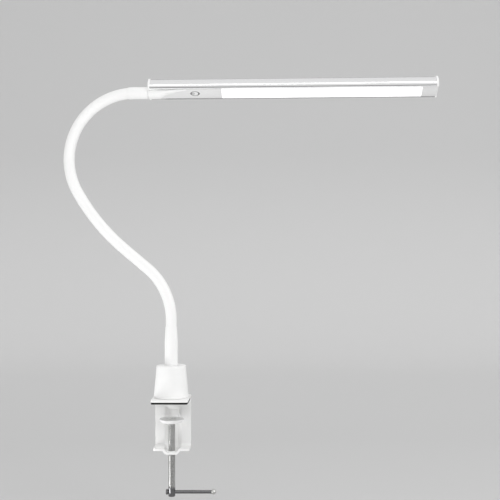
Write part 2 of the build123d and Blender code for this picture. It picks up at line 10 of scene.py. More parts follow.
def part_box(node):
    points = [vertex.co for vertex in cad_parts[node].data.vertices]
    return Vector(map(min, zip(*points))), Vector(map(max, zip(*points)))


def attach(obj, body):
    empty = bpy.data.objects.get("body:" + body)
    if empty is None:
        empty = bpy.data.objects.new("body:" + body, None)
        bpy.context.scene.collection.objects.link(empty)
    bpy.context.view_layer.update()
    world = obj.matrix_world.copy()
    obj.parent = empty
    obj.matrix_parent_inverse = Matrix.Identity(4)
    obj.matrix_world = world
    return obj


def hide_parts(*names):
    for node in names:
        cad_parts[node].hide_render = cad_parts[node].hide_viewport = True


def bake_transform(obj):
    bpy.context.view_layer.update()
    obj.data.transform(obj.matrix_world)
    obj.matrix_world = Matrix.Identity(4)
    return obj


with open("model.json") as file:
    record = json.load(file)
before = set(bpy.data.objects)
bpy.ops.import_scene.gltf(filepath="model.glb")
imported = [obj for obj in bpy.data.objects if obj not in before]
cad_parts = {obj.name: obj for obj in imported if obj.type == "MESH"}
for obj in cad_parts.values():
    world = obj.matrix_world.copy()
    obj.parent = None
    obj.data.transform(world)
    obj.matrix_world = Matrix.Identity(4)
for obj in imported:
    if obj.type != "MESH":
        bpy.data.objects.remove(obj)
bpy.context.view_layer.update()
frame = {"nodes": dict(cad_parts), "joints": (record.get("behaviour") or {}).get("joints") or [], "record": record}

MM = 0.001

# ---------------------------------------------------------------- sizes, in metres
# Neck: its upright plane's turn from the head's, and its centre line in that plane, as the CAD
# has it, in spans of (straight run, None, 0) or (None, bend radius, turn in degrees)
NECK_YAW = math.radians(-2.5)
NECK_SPANS = (
    (62.0 * MM, None, 0.0),
    (None, 92.5 * MM, 50.0),
    (42.0 * MM, None, 0.0),
    (None, 282.0 * MM, -21.0),
    (None, 91.0 * MM, -119.0),
    (19.6 * MM, None, 0.0),
)
SLEEVE_RADIUS = 7.5 * MM
BOOT_RADIUS = 9.0 * MM
BOOT_TIP_RADIUS = 7.9 * MM
BOOT_STRAIGHT = 34.0 * MM
BOOT_TAPER = 19.0 * MM
FERRULE_RADIUS = 8.1 * MM
FERRULE_LENGTH = 27.5 * MM
SLEEVE_CLEARANCE = 0.05 * MM

# Head: its section, then places along it from its left end
PROFILE_RADIUS = 13.8 * MM
PROFILE_FLAT = 21.4 * MM
PROFILE_WALL = 1.6 * MM
OPENING = 18.4 * MM
COVER_LIP = 1.9 * MM
COVER_FLANGE = 1.0 * MM
COVER_GAP = 0.15 * MM
COVER_RECESS = 0.8 * MM
LIP_BEVEL = 0.5 * MM
LIP_ROUND = 0.85 * MM
WEB_HEIGHT = 11.2 * MM
WEB_THICKNESS = 1.4 * MM
CAP_THICKNESS = 2.5 * MM
CAP_PROUD = 1.0 * MM
ADAPTOR_DROP = 2.6 * MM
ADAPTOR_END = 14.0 * MM
FAIRING_LENGTH = 39.0 * MM
TOUCH_CENTRE = 64.0 * MM
TOUCH_COVER_END = 101.0 * MM
DIFFUSER_END = 372.6 * MM
HEAD_LENGTH = 394.0 * MM
END_PANEL_END = HEAD_LENGTH - 0.5 * MM
PROFILE_CENTRE = math.sqrt(PROFILE_RADIUS**2 - (PROFILE_FLAT / 2) ** 2)
PROFILE_MIDDLE = (0.0, PROFILE_CENTRE)
HEAD_TWIST = math.radians(31.5)  # about the neck's end, at rest
HEAD_GAP = 0.3 * MM  # between the neck's end and the head

# Clamp
SHEET = 3.0 * MM
CHANNEL_DEPTH = 5.0 * MM
CHANNEL_WIDTH = 24.6 * MM
COLLAR_RADIUS = 7.4 * MM
COLLAR_HEIGHT = 1.0 * MM
SCREW_RADIUS = 5.0 * MM
SCREW_HOLE_RADIUS = SCREW_RADIUS + 0.25 * MM
SCREW_PITCH = 1.5 * MM
THREAD_ROOT = 4.35 * MM
SCREW_Y = (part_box("clamp_screw")[0].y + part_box("clamp_screw")[1].y) / 2
SCREW_PLACE = Matrix.Translation((0, SCREW_Y, 0))


# ---------------------------------------------------------------- mesh helpers
SHARP_ANGLE = 35.0  # degrees between two faces, from which their edge is shaded sharp
BEVEL_ANGLE = 60.0  # degrees between two faces, from which their edge is bevelled
EDGE_BEVEL = 0.45 * MM
WELD_DISTANCE = 1e-7  # points nearer than this become one
ON_AXIS = 1e-9  # a radius below this is a point on the axis


def new_object(name, bm, material, sharp_angle=SHARP_ANGLE):
    """Turns a bmesh into a named object with one material, smooth but for sharp edges."""
    bmesh.ops.remove_doubles(bm, verts=bm.verts, dist=WELD_DISTANCE)
    bmesh.ops.recalc_face_normals(bm, faces=bm.faces)
    mesh = bpy.data.meshes.new(name)
    bm.to_mesh(mesh)
    bm.free()
    obj = bpy.data.objects.new(name, mesh)
    bpy.context.scene.collection.objects.link(obj)
    mesh.materials.append(material)
    smooth(obj, sharp_angle)
    return obj


def smooth(obj, sharp_angle=SHARP_ANGLE):
    """Shades an object smooth, but for edges from an angle in degrees."""
    mesh = obj.data
    mesh.polygons.foreach_set("use_smooth", [True] * len(mesh.polygons))
    mesh.set_sharp_from_angle(angle=math.radians(sharp_angle))


def join_rings(bm, low, high):
    """Faces between two rings of points, either of which may be a single point."""
    count = max(len(low), len(high))
    for i in range(count):
        j = (i + 1) % count
        corners = [low[i % len(low)], low[j % len(low)], high[j % len(high)], high[i % len(high)]]
        unique = []
        for corner in corners:
            if corner not in unique:
                unique.append(corner)
        if len(unique) > 2:
            bm.faces.new(unique)


def skin(name, rings, material, place=Matrix.Identity(4), sharp_angle=SHARP_ANGLE):
    """A body over rings of points, closed at its ends unless its last ring is its first."""
    bm = bmesh.new()
    loops = [[bm.verts.new(point) for point in ring] for ring in rings]
    for low, high in zip(loops, loops[1:]):
        join_rings(bm, low, high)
    if rings[0] != rings[-1]:
        for loop in (loops[0], loops[-1]):
            if len(loop) > 1:
                bm.faces.new(loop)
    bm.transform(place)
    return new_object(name, bm, material, sharp_angle)


def full_turn(steps):
    """Angles in radians, evenly round a circle."""
    return [2 * math.pi * i / steps for i in range(steps)]


def lathe(name, profile, material, place=Matrix.Identity(4), steps=96):
    """Turns (radius, height) points about Z, then puts the result in its place."""
    rings = []
    for radius, height in profile:
        if radius < ON_AXIS:
            rings.append([(0, 0, height)])
        else:
            rings.append([(radius * math.cos(angle), radius * math.sin(angle), height)
                          for angle in full_turn(steps)])
    return skin(name, rings, material, place)


def apply_modifier(obj, kind, **settings):
    """Adds one modifier to an object and applies it at once."""
    modifier = obj.modifiers.new(kind.lower(), kind)
    for key, value in settings.items():
        setattr(modifier, key, value)
    bpy.context.view_layer.update()
    depsgraph = bpy.context.evaluated_depsgraph_get()
    mesh = bpy.data.meshes.new_from_object(obj.evaluated_get(depsgraph))
    mesh.name = obj.data.name
    obj.modifiers.clear()
    obj.data = mesh


def bevelled(obj, width, segments):
    """Rounds an object's sharp edges."""
    apply_modifier(obj, "BEVEL", width=width, segments=segments, limit_method="ANGLE",
                   angle_limit=math.radians(BEVEL_ANGLE))
    smooth(obj)
    return obj


def combine(obj, tool, operation, sharp_angle=SHARP_ANGLE):
    """Cuts or trims a closed piece with another, which is used up."""
    apply_modifier(obj, "BOOLEAN", object=tool, operation=operation, solver="EXACT")
    bpy.data.objects.remove(tool, do_unlink=True)
    smooth(obj, sharp_angle)
    return obj


def bore(obj, radius, low, high, place, steps):
    """Bores a round hole, from low to high along the Z axis of its place."""
    drill = lathe("drill", [(0, low), (radius, low), (radius, high), (0, high)],
                  obj.data.materials[0], place, steps)
    return combine(obj, drill, "DIFFERENCE")


def rounded_profile(corners, rounds, steps=6):
    """(radius, height) outline with each corner rounded by its own radius."""
    points = []
    count = len(corners)
    for i, (corner, radius) in enumerate(zip(corners, rounds)):
        here = Vector(corner)
        if radius <= 0 or i in (0, count - 1):
            points.append(tuple(here))
            continue
        before = (Vector(corners[i - 1]) - here).normalized()
        after = (Vector(corners[i + 1]) - here).normalized()
        half = before.angle(after) / 2
        reach = radius / math.tan(half)
        start, end = here + before * reach, here + after * reach
        centre = here + (before + after).normalized() * (radius / math.sin(half))
        for k in range(steps + 1):
            spoke = (start - centre).lerp(end - centre, k / steps).normalized() * radius
            points.append(tuple(centre + spoke))
    return points


def ring_profile(corners, rounds, steps=6):
    """Rounded outline that comes back to its first corner, which stays sharp."""
    return rounded_profile(corners + corners[:1], rounds + [0], steps)


def on_circle(centre, radius, angle):
    """The point of a circle at an angle in degrees."""
    angle = math.radians(angle)
    return centre[0] + radius * math.cos(angle), centre[1] + radius * math.sin(angle)


def arc(centre, radius, start, end, steps):
    """Points on a circle's arc, angles in degrees."""
    return [on_circle(centre, radius, start + (end - start) * i / steps)
            for i in range(steps + 1)]


def smooth_step(share):
    """Goes from 0 to 1, level at both ends."""
    return share**2 * (3 - 2 * share)


# ---------------------------------------------------------------- neck centre line
def span_length(span):
    """Length of a straight or bent span of the neck."""
    run, radius, turn = span
    return run if radius is None else radius * abs(math.radians(turn))


NECK_LENGTH = sum(span_length(span) for span in NECK_SPANS)
CUP_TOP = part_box("base_cup")[1].z
NECK_STEPS = 64  # points round the neck


def advance(x, z, heading, span, distance):
    """Place and heading after a distance along a span."""
    _, radius, turn = span
    if radius is None:
        return x + distance * math.cos(heading), z + distance * math.sin(heading), heading
    curvature = math.copysign(1 / radius, turn)
    turned = heading + curvature * distance
    x += (math.sin(turned) - math.sin(heading)) / curvature
    z -= (math.cos(turned) - math.cos(heading)) / curvature
    return x, z, turned


def neck_at(distance):
    """Point and tangent of the neck's centre line at a distance from the cup."""
    x, z, heading = 0.0, CUP_TOP, math.pi / 2
    for index, span in enumerate(NECK_SPANS):
        length = span_length(span)
        if distance <= length or index == len(NECK_SPANS) - 1:
            x, z, heading = advance(x, z, heading, span, distance)
            break
        x, z, heading = advance(x, z, heading, span, length)
        distance -= length
    turn = Matrix.Rotation(NECK_YAW, 3, "Z")
    return turn @ Vector((x, 0, z)), turn @ Vector((math.cos(heading), 0, math.sin(heading)))


def neck_sweep(name, stations, material):
    """A closed round body along the neck through (distance, radius) stations."""
    side = Matrix.Rotation(NECK_YAW, 3, "Z") @ Vector((0, 1, 0))
    rings = []
    for distance, radius in stations:
        point, tangent = neck_at(distance)
        across = side.cross(tangent)
        rings.append([point + radius * (side * math.cos(angle) + across * math.sin(angle))
                      for angle in full_turn(NECK_STEPS)])
    return skin(name, rings, material)


def head_place():
    """The head's own frame: X along it from its left end, Z up from its flat underside."""
    point, tangent = neck_at(NECK_LENGTH)
    return (Matrix.Translation(point + tangent * HEAD_GAP) @ Matrix.Rotation(NECK_YAW, 4, "Z")
            @ Matrix.Rotation(-HEAD_TWIST, 4, "X") @ Matrix.Translation((0, 0, -ADAPTOR_DROP)))


# ---------------------------------------------------------------- materials
NOISE_DETAIL = 3.0
NOISE_ROUGHNESS = 0.55
GRAIN_DEPTH = 0.05 * MM


def set_inputs(tree, node, inputs):
    """Sets a node's inputs, by name or number, to values or to what other nodes give."""
    for key, value in inputs.items():
        if isinstance(value, bpy.types.NodeSocket):
            tree.links.new(value, node.inputs[key])
        else:
            node.inputs[key].default_value = value


def add_node(tree, kind, inputs, **settings):
    """Adds a shader node, with its settings and its inputs."""
    node = tree.nodes.new("ShaderNode" + kind)
    for key, value in settings.items():
        setattr(node, key, value)
    set_inputs(tree, node, inputs)
    return node


def shader_material(name):
    """A new material with one Principled shader, and the object coordinates to paint it by."""
    material = bpy.data.materials.new(name)
    material.use_nodes = True
    tree = material.node_tree
    tree.nodes.clear()
    shader = add_node(tree, "BsdfPrincipled", {})
    add_node(tree, "OutputMaterial", {"Surface": shader.outputs[0]})
    coords = add_node(tree, "TexCoord", {}).outputs["Object"]
    return material, tree, shader, coords


def noise(tree, coords, scale):
    """A noise texture's value."""
    return add_node(tree, "TexNoise", {"Vector": coords, "Scale": scale, "Detail": NOISE_DETAIL,
                                       "Roughness": NOISE_ROUGHNESS}).outputs["Fac"]


def spread(tree, value, low, high, from_low=0.3, from_high=0.7):
    """Maps a value, such as a texture's, from one range to another."""
    return add_node(tree, "MapRange", {"Value": value, "From Min": from_low,
                                       "From Max": from_high, "To Min": low,
                                       "To Max": high}).outputs["Result"]


def between(tree, factor, first, second):
    """Mixes two colours by a value."""
    return add_node(tree, "Mix", {"Factor": factor, "A": (*first, 1.0), "B": (*second, 1.0)},
                    data_type="RGBA").outputs["Result"]


def bump_of(tree, height, strength, distance=GRAIN_DEPTH):
    """A bump from a texture's value."""
    return add_node(tree, "Bump", {"Height": height, "Strength": strength,
                                   "Distance": distance}).outputs["Normal"]


def finish(name, colour, roughness, mottle=0.02, mottle_scale=30.0, grain=900.0, bump=0.1,
           rough_spread=0.05, stretch=(1, 1, 1), **sockets):
    """A finish with faint patches of tone, uneven gloss and a fine grain.

    The rest of its values go on the shader's own sockets, by their names.
    """
    material, tree, shader, coords = shader_material(name)
    place = add_node(tree, "Mapping", {"Vector": coords, "Scale": stretch}).outputs["Vector"]
    patches = spread(tree, noise(tree, place, mottle_scale), 0, 1)
    fine = noise(tree, place, grain)
    dark = tuple(c * (1 - mottle) for c in colour)
    light = tuple(min(1.0, c * (1 + mottle)) for c in colour)
    set_inputs(tree, shader, {
        "Base Color": between(tree, patches, dark, light),
        "Roughness": spread(tree, fine, roughness - rough_spread, roughness + rough_spread),
        "Normal": bump_of(tree, fine, bump)})
    set_inputs(tree, shader, {key.replace("_", " "): value for key, value in sockets.items()})
    return material


def thread_steel(name):
    """Zinc-plated thread: brighter crests, and roots painted dull and darker as shade."""
    # The roots' darker colour is painted shade in the thread's hollows, blended out towards the crests.
    painted_root_shade, crest_colour = (0.20, 0.20, 0.198), (0.84, 0.84, 0.83)
    grain, bump, smoothest, roughest = 700.0, 0.12, 0.14, 0.30
    material, tree, shader, coords = shader_material(name)
    parts = add_node(tree, "SeparateXYZ", {0: coords}).outputs
    y = add_node(tree, "Math", {0: parts["Y"], 1: SCREW_Y}, operation="SUBTRACT").outputs[0]
    flat = add_node(tree, "CombineXYZ", {"X": parts["X"], "Y": y}).outputs[0]
    radius = add_node(tree, "VectorMath", {0: flat}, operation="LENGTH").outputs["Value"]
    crest = spread(tree, radius, 0, 1, THREAD_ROOT, SCREW_RADIUS)
    fine = noise(tree, coords, grain)
    set_inputs(tree, shader, {"Base Color": between(tree, crest, painted_root_shade, crest_colour),
                              "Roughness": spread(tree, fine, smoothest, roughest),
                              "Normal": bump_of(tree, fine, bump), "Metallic": 1.0})
    return material


def glowing(name, colour, strength):
    """Opal acrylic lit from behind, a little uneven over the chips."""
    patch_scale, patch_tone = 60.0, 0.985
    grain, bump, bump_depth, smoothest, roughest = 1200.0, 0.05, 0.03 * MM, 0.30, 0.42
    material, tree, shader, coords = shader_material(name)
    patches = spread(tree, noise(tree, coords, patch_scale), 0, 1)
    tone = between(tree, patches, tuple(c * patch_tone for c in colour), colour)
    fine = noise(tree, coords, grain)
    set_inputs(tree, shader, {"Base Color": tone, "Emission Color": tone,
                              "Emission Strength": strength,
                              "Roughness": spread(tree, fine, smoothest, roughest),
                              "Normal": bump_of(tree, fine, bump, bump_depth)})
    return material


ENAMEL = finish("bracket_enamel", (0.895, 0.895, 0.888), 0.36, grain=1500.0, bump=0.16)
WHITE_ENAMEL = finish("white_enamel", (0.90, 0.90, 0.895), 0.34, grain=1500.0, bump=0.14)
PAD_RUBBER = finish("pad_rubber", (0.007, 0.007, 0.007), 0.78, mottle=0.3, grain=2200.0,
                    bump=0.35, rough_spread=0.08, Specular_IOR_Level=0.25)
SOFT_WHITE = finish("white_soft", (0.91, 0.91, 0.905), 0.52, mottle=0.012, grain=2600.0,
                    bump=0.10, Sheen_Weight=0.15, Sheen_Roughness=0.4)
WHITE_PLASTIC = finish("white_plastic", (0.91, 0.91, 0.905), 0.33, mottle=0.012, grain=1800.0,
                       bump=0.06)
GREY_PLASTIC = finish("grey_plastic", (0.80, 0.80, 0.80), 0.42, grain=2400.0, bump=0.12)
ALUMINIUM = finish("satin_aluminium", (0.78, 0.78, 0.785), 0.17, mottle=0.03, mottle_scale=9.0,
                   bump=0.05, stretch=(0.02, 1, 1), Metallic=1.0, Anisotropic=0.35)
DIFFUSER = glowing("opal_diffuser", (1.0, 1.0, 0.995), 0.75)
ZINC = finish("zinc_steel", (0.62, 0.62, 0.60), 0.30, mottle=0.12, mottle_scale=260.0,
              Metallic=1.0)
THREAD = thread_steel("screw_steel")
CORE_STEEL = finish("core_steel", (0.45, 0.45, 0.44), 0.42, mottle=0.1, mottle_scale=200.0,
                    Metallic=1.0)
DARK_CHROME = finish("dark_chrome", (0.185, 0.185, 0.19), 0.12, mottle=0.05, mottle_scale=180.0,
                     grain=700.0, bump=0.03, rough_spread=0.03, Metallic=1.0)
BOARD = finish("board", (0.80, 0.82, 0.79), 0.45, grain=1400.0)
LED_YELLOW = finish("led_yellow", (0.92, 0.80, 0.40), 0.30, grain=1400.0)
ICON_GREY = finish("icon_grey", (0.06, 0.06, 0.062), 0.45, grain=1400.0)


def dress(obj, body, slot, *nodes):
    """Puts a finished piece on its body, over the nodes it stands for; its slot is not used."""
    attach(obj, body)
    if nodes:
        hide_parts(*nodes)


# ---------------------------------------------------------------- clamp bracket
PLATE_LOW, PLATE_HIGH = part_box("clamp_bracket")
PAD_LOW, PAD_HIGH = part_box("jaw_pad")
PAD_SPREAD = 0.8 * MM
HALF_WIDTH = PLATE_HIGH.x
PLATE_FRONT = PLATE_LOW.y
BACK_Y = 29.0 * MM
BEND_OUTER = 5.5 * MM
BEND_MID = BEND_OUTER - SHEET / 2
JAW_FRONT = -2.0 * MM
JAW_BOTTOM = PLATE_LOW.z + CHANNEL_DEPTH
CORNER_RADIUS = 3.0 * MM
CHANNEL_TOP = -9.4 * MM
CHANNEL_SLOPE = 7.0 * MM  # height over which the channel runs in from its top
CHANNEL_FLARE = 0.6 * MM  # of the softened walls, past the channel's width on each side
CHANNEL_BEND = 3.2 * MM
CHANNEL_STEEPNESS = math.radians(54)
FLOOR_COLUMNS = (0.0, 1.5 * MM, 3.0 * MM, 4.5 * MM)
FLANK_COLUMNS = (14.5 * MM, 17.0 * MM, 19.5 * MM, 21.8 * MM, 25.0 * MM)


def bracket_stations():
    """(y, z, outward normal's y and z, distance to the strip's nearer end) down the bent strip.

    That distance matters only at the rounded corners, so between the bends it is just far.
    """
    far, flat_steps, bend_steps, back_steps = 1.0, 10, 12, 60
    mid = PLATE_HIGH.z - SHEET / 2
    jaw = JAW_BOTTOM + SHEET / 2
    centre_y = BACK_Y - BEND_OUTER
    stations = []
    corner = [CORNER_RADIUS * (1 - math.cos(math.radians(a))) for a in range(0, 91, 10)]
    plate_run = centre_y - PLATE_FRONT
    plate = [corner[-1] + (plate_run - corner[-1]) * i / flat_steps
             for i in range(1, flat_steps + 1)]
    for run in corner + plate:
        stations.append((PLATE_FRONT + run, mid, 0.0, 1.0, run))
    high, low = mid - BEND_MID, jaw + BEND_MID
    for y, z in arc((centre_y, high), BEND_MID, 90, 0, bend_steps)[1:]:
        stations.append((y, z, (y - centre_y) / BEND_MID, (z - high) / BEND_MID, far))
    for i in range(1, back_steps + 1):
        z = high + (low - high) * i / back_steps
        stations.append((centre_y + BEND_MID, z, 1.0, 0.0, far))
    for y, z in arc((centre_y, low), BEND_MID, 0, -90, bend_steps)[1:]:
        stations.append((y, z, (y - centre_y) / BEND_MID, (z - low) / BEND_MID, far))
    jaw_run = centre_y - JAW_FRONT
    for i in range(1, flat_steps + 1):
        run = (jaw_run - corner[-1]) * i / flat_steps
        stations.append((centre_y - run, jaw, 0.0, -1.0, jaw_run - run))
    for run in reversed(corner[:-1]):
        stations.append((JAW_FRONT + run, jaw, 0.0, -1.0, run))
    return stations


def channel_columns():
    """(x, share of the channel's depth, slope) across half of the strip, from the middle."""
    rise = 2 * CHANNEL_BEND * (1 - math.cos(CHANNEL_STEEPNESS))
    ramp = (CHANNEL_DEPTH - rise) / math.sin(CHANNEL_STEEPNESS)
    reach = 2 * CHANNEL_BEND * math.sin(CHANNEL_STEEPNESS) + ramp * math.cos(CHANNEL_STEEPNESS)
    outer = CHANNEL_WIDTH / 2 + CHANNEL_FLARE
    inner = outer - reach
    steps = 6
    foot_bend, head_bend = [], []
    for i in range(steps + 1):
        angle = CHANNEL_STEEPNESS * i / steps
        run = CHANNEL_BEND * math.sin(angle)
        share = CHANNEL_BEND * (1 - math.cos(angle)) / CHANNEL_DEPTH
        foot_bend.append((inner + run, 1 - share, angle))
        head_bend.append((outer - run, share, angle))
    return ([(x, 1.0, 0.0) for x in FLOOR_COLUMNS] + foot_bend + head_bend[::-1]
            + [(x, 0.0, 0.0) for x in FLANK_COLUMNS])


def make_bracket():
    """Bent steel strip with its pressed channel, rounded corners and screw hole."""
    half = channel_columns()
    columns = [(-x, share, -angle) for x, share, angle in reversed(half[1:])] + half
    outer_grid, inner_grid = [], []
    bm = bmesh.new()
    for y, z, ny, nz, to_end in bracket_stations():
        base, normal = Vector((0, y, z)), Vector((0, ny, nz))
        along = Vector((0, nz, -ny))
        share_down = min(1.0, max(0.0, (CHANNEL_TOP - z) / CHANNEL_SLOPE))
        ramp = smooth_step(share_down)
        ramp_slope = 6 * share_down * (1 - share_down) / CHANNEL_SLOPE
        inset = max(0.0, CORNER_RADIUS - to_end)
        edge = HALF_WIDTH - CORNER_RADIUS + math.sqrt(CORNER_RADIUS**2 - inset**2)
        outer_row, inner_row = [], []
        for x, share, angle in columns:
            x = math.copysign(min(abs(x), edge), x)
            depth = CHANNEL_DEPTH * share
            point = base + normal * depth * ramp + Vector((x, 0, 0))
            across = Vector((math.cos(angle), 0, 0)) - normal * math.sin(angle) * ramp
            down = along + normal * depth * ramp_slope
            face = across.cross(down).normalized()
            if face.dot(normal) < 0:
                face = -face
            outer_row.append(bm.verts.new(point + face * SHEET / 2))
            inner_row.append(bm.verts.new(point - face * SHEET / 2))
        outer_grid.append(outer_row)
        inner_grid.append(inner_row)
    close_slab(bm, outer_grid, inner_grid)
    bracket = bevelled(new_object("bracket", bm, ENAMEL), EDGE_BEVEL, segments=3)
    return bore(bracket, SCREW_HOLE_RADIUS, -3 * SHEET, 3 * SHEET,
                Matrix.Translation((0, SCREW_Y, PLATE_LOW.z)), steps=64)


def close_slab(bm, top, bottom):
    """Faces over two matching grids of points, and around their border."""
    rows, columns = len(top), len(top[0])
    for i in range(rows - 1):
        for j in range(columns - 1):
            bm.faces.new((top[i][j], top[i][j + 1], top[i + 1][j + 1], top[i + 1][j]))
            bm.faces.new((bottom[i][j], bottom[i + 1][j], bottom[i + 1][j + 1],
                          bottom[i][j + 1]))
    border = [(i, 0) for i in range(rows)] + [(rows - 1, j) for j in range(1, columns)]
    border += [(i, columns - 1) for i in range(rows - 2, -1, -1)]
    border += [(0, j) for j in range(columns - 2, 0, -1)]
    for (i, j), (k, m) in zip(border, border[1:] + border[:1]):
        bm.faces.new((top[i][j], top[k][m], bottom[k][m], bottom[i][j]))


def make_jaw_collar():
    """Low collar round the screw's hole, let into the jaw's floor."""
    floor = PLATE_LOW.z + SHEET
    foot, top = floor - 1.0 * MM, floor + COLLAR_HEIGHT
    corners = [(SCREW_HOLE_RADIUS, foot), (COLLAR_RADIUS, foot), (COLLAR_RADIUS, top),
               (SCREW_HOLE_RADIUS, top)]
    profile = ring_profile(corners, [0, 0, 0.8 * MM, 0.4 * MM])
    return lathe("jaw_collar", profile, ENAMEL, SCREW_PLACE)


def make_pad():
    """Rubber pad with a trimmed rim, close to the plate's own edge in front and at the sides."""
    low = PAD_LOW - Vector((PAD_SPREAD, PAD_SPREAD, 0.0))
    high = PAD_HIGH + Vector((PAD_SPREAD, 0.0, 0.0))
    radius, rim = 2.5 * MM, 0.15 * MM
    outline = []
    for x, y, start in ((high.x, high.y, 0), (low.x, high.y, 90), (low.x, low.y, 180),
                        (high.x, low.y, 270)):
        centre = (x - math.copysign(radius, x), y - math.copysign(radius, y))
        outline += arc(centre, radius, start, start + 90, steps=8)
    rings = [[(x, y, z) for x, y in outline] for z in (low.z, high.z)]
    return bevelled(skin("rubber_pad", rings, PAD_RUBBER), rim, segments=2)


dress(make_bracket(), "clamp", "bracket_enamel", "clamp_bracket")
dress(make_jaw_collar(), "clamp", "bracket_enamel")
dress(make_pad(), "clamp", "pad_rubber", "jaw_pad")


# ---------------------------------------------------------------- base cup, grommet and boot
CUP_BASE = PLATE_HIGH.z
CUP_BOTTOM_RADIUS = 24.0 * MM
CUP_TOP_RADIUS = 20.0 * MM
CUP_WALL = 2.4 * MM
INLET_Z = CUP_BASE + 9.0 * MM
INLET_PLACE = Matrix.Translation((0, 0, INLET_Z)) @ Matrix.Rotation(math.radians(-90), 4, "X")


def make_cup():
    """Tapered cup, open below, with holes for the neck's stud and for the lead's inlet."""
    low, high = CUP_BASE, CUP_TOP
    stud_hole, inlet_hole = 5.2 * MM, 4.45 * MM
    hollow, outside = 10.0 * MM, 30.0 * MM  # the back wall lies between these distances
    corners = [(CUP_BOTTOM_RADIUS - CUP_WALL, low), (CUP_BOTTOM_RADIUS, low),
               (CUP_TOP_RADIUS, high), (stud_hole, high), (stud_hole, high - CUP_WALL),
               (CUP_TOP_RADIUS - CUP_WALL, high - CUP_WALL)]
    rounds = [0, 1.3 * MM, 1.2 * MM, 0, 0, 1.0 * MM]
    cup = lathe("base_cup_shell", ring_profile(corners, rounds, 8), WHITE_ENAMEL, steps=128)
    return bore(cup, inlet_hole, hollow, outside, INLET_PLACE, steps=48)


def make_grommet():
    """Round lead inlet with rolled flanges on both sides of the wall."""
    inner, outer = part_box("cord_grommet")[0].y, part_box("cord_grommet")[1].y
    hole, tube, inner_rim, outer_rim, lip = 2.6 * MM, 4.4 * MM, 5.2 * MM, 6.0 * MM, 5.4 * MM
    flange = 1.5 * MM
    corners = [(hole, inner), (inner_rim, inner), (inner_rim, inner + flange),
               (tube, inner + flange), (tube, outer - flange), (outer_rim, outer - flange),
               (lip, outer), (hole, outer)]
    rounds = [0, 0.4 * MM, 0.3 * MM, 0, 0, 0.3 * MM, 0.7 * MM, 0.6 * MM]
    return lathe("lead_grommet", ring_profile(corners, rounds), WHITE_PLASTIC, INLET_PLACE,
                 steps=64)


def make_boot():
    """Moulded boot: straight, then drawn in to the sleeve."""
    inside = SLEEVE_RADIUS + SLEEVE_CLEARANCE
    low = CUP_TOP
    shoulder, tip = low + BOOT_STRAIGHT, low + BOOT_STRAIGHT + BOOT_TAPER
    corners = [(inside, low), (BOOT_RADIUS, low), (BOOT_RADIUS, shoulder),
               (BOOT_TIP_RADIUS, tip), (inside, tip)]
    rounds = [0, 0.5 * MM, 60 * MM, 0.22 * MM, 0]
    return lathe("neck_boot_sleeve", ring_profile(corners, rounds, 8), SOFT_WHITE)


dress(make_cup(), "clamp", "white_enamel", "base_cup")
dress(make_grommet(), "clamp", "white_plastic", "cord_grommet")
dress(make_boot(), "clamp", "white_soft", "neck_boot")


# ---------------------------------------------------------------- gooseneck sleeve
NECK_JOINTS = [joint for joint in frame["joints"] if joint["child"].startswith("neck_")]
LAST_SECTION = len(NECK_JOINTS) - 1
LAST_LINK = 34.0 * MM
FIRST_JOINT = 66.0 * MM
JOINT_PITCH = (NECK_LENGTH - LAST_LINK - FIRST_JOINT) / LAST_SECTION
FIRST_BEND_REACH = 12.0 * MM
SLEEVE_START = 50.0 * MM  # inside the boot
SLEEVE_END = NECK_LENGTH - 1.0 * MM  # inside the ferrule
SLEEVE_STEP = 1.2 * MM


def sleeve_span(index):
    """Where a sleeve section starts and ends: the middles of the links beside its joint."""
    place = FIRST_JOINT + JOINT_PITCH * index
    start = SLEEVE_START if index == 0 else place - JOINT_PITCH / 2
    end = SLEEVE_END if index == LAST_SECTION else place + JOINT_PITCH / 2
    return start, end


def bend_span(index):
    """Span of a sleeve section round its joint, evenly to both sides of it."""
    place = FIRST_JOINT + JOINT_PITCH * index
    reach = JOINT_PITCH / 2
    if index == 0:
        reach = FIRST_BEND_REACH
    if index == LAST_SECTION:
        reach = LAST_LINK - FERRULE_LENGTH
    return place - reach, place + reach


def make_sleeve_section(index):
    """One section of the sleeve over a joint, which hides the core below it."""
    start, end = sleeve_span(index)
    count = max(8, round((end - start) / SLEEVE_STEP))
    stations = [(start + (end - start) * i / count, SLEEVE_RADIUS) for i in range(count + 1)]
    section = neck_sweep(f"sleeve_{index + 1:02d}", stations, SOFT_WHITE)
    bend_start, bend_end = bend_span(index)
    tuple(neck_at(bend_start)[0])
    tuple(neck_at(bend_end)[0])
    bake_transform(section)
    if index == 0:
        hidden = ["neck_core_foot", "neck_sleeve", "neck_lead"]
    else:
        hidden = [f"neck_core_{index:02d}"]
    if index == LAST_SECTION:
        hidden.append("neck_core_tip")
    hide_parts(*hidden)


def make_ferrule():
    """Plain ferrule over the sleeve's end, with both its edges eased."""
    steps = 18
    ease = 0.2 * MM
    far_ease = 0.3 * MM
    end = NECK_LENGTH
    start = end - FERRULE_LENGTH
    inside = SLEEVE_RADIUS + SLEEVE_CLEARANCE
    span = FERRULE_LENGTH - ease - far_ease
    stations = [(start, inside), (start, FERRULE_RADIUS - ease)]
    stations += [(start + ease + span * i / steps, FERRULE_RADIUS) for i in range(steps + 1)]
    stations += [(end, FERRULE_RADIUS - far_ease), (end, inside)]
    stations += [(end - FERRULE_LENGTH * i / steps, inside) for i in range(1, steps)]
    return neck_sweep("neck_ferrule_sleeve", stations + stations[:1], SOFT_WHITE)


for order, neck_joint in enumerate(NECK_JOINTS):
    make_sleeve_section(order)
dress(make_ferrule(), "neck_tip", "white_soft", "neck_ferrule")


# ---------------------------------------------------------------- light head
HEAD_PLACE = head_place()
PROFILE_INSIDE = PROFILE_RADIUS - PROFILE_WALL
PROFILE_SHARP_ANGLE = 28.0


